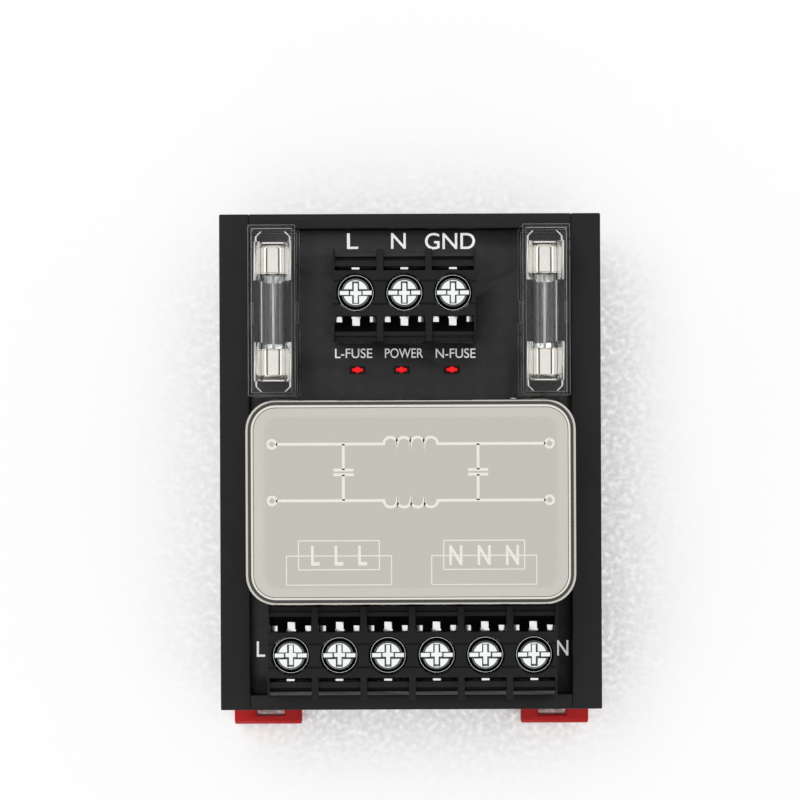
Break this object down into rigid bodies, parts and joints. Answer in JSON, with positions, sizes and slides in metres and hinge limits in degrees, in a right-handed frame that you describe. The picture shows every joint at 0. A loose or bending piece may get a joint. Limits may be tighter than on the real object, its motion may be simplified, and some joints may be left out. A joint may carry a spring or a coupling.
{
  "type": "emi line filter",
  "caption": "Fused mains line filter on a rail carrier: tray with circuit board, drawn metal can, screw terminals, glass fuses under clear covers, and sliding latches on the feet.",
  "frame": {"origin": "centre of the rail seat: the plane of the rail's front face, midway between the module's ends and the rail's edges", "axes": "+X along the rail to the right, +Y across the rail away from the latches, +Z away from the rail"},
  "size_m": [0.0592, 0.0812, 0.0404],
  "materials": {
    "carrier_plastic": "extruded, satin black",
    "plate_plastic": "moulded, satin black",
    "latch_plastic": "moulded, satin dark red",
    "board": "black solder mask over glass epoxy",
    "solder": "bright solder",
    "can_metal": "nickel plated steel, satin top and bright edge",
    "base_plastic": "moulded, black",
    "pin_metal": "tin plated brass",
    "resin": "cast epoxy resin",
    "ferrite": "ferrite with epoxy coat",
    "copper": "enamelled copper wire",
    "capacitor_box": "moulded box, yellow",
    "capacitor_disc": "dipped coat, blue",
    "terminal_plastic": "moulded polyamide, black",
    "contact_metal": "tin plated brass",
    "clamp_metal": "nickel plated steel",
    "screw_metal": "nickel plated steel",
    "clip_metal": "tin plated spring bronze",
    "cap_metal": "nickel plated brass",
    "fuse_glass": "clear glass tube",
    "element_metal": "tinned wire",
    "cover_plastic": "clear polycarbonate",
    "indicator": "red lens on a dark base"
  },
  "bodies": {
    "module": {"carrier_profile": "carrier_plastic", "side_plate_left": "plate_plastic", "side_plate_right": "plate_plastic", "circuit_board": "board", "solder_joints": "solder", "filter_can": "can_metal", "filter_base": "base_plastic", "filter_pins": "pin_metal", "casting_resin": "resin", "choke_core": "ferrite", "choke_winding_line": "copper", "choke_winding_neutral": "copper", "mains_capacitor_input": "capacitor_box", "mains_capacitor_output": "capacitor_box", "earth_capacitors": "capacitor_disc", "input_terminal_body": "terminal_plastic", "input_terminal_contacts": "contact_metal", "input_terminal_clamps": "clamp_metal", "input_terminal_screws": "screw_metal", "output_terminal_body": "terminal_plastic", "output_terminal_contacts": "contact_metal", "output_terminal_clamps": "clamp_metal", "output_terminal_screws": "screw_metal", "indicators": "indicator", "fuse_clips_left": "clip_metal", "fuse_caps_left": "cap_metal", "fuse_glass_left": "fuse_glass", "fuse_element_left": "element_metal", "fuse_cover_left": "cover_plastic", "fuse_clips_right": "clip_metal", "fuse_caps_right": "cap_metal", "fuse_glass_right": "fuse_glass", "fuse_element_right": "element_metal", "fuse_cover_right": "cover_plastic"},
    "latch_left": {"rail_latch_left": "latch_plastic"},
    "latch_right": {"rail_latch_right": "latch_plastic"}
  },
  "joints": [
    {"name": "latch_left_slide", "type": "slide", "parent": "module", "child": "latch_left", "axis": [0, -1, 0], "range_m": [0, 0.0032], "stiffness_N_per_m": 400, "springref_m": -0.001},
    {"name": "latch_right_slide", "type": "slide", "parent": "module", "child": "latch_right", "axis": [0, -1, 0], "range_m": [0, 0.0032], "stiffness_N_per_m": 400, "springref_m": -0.001}
  ]
}
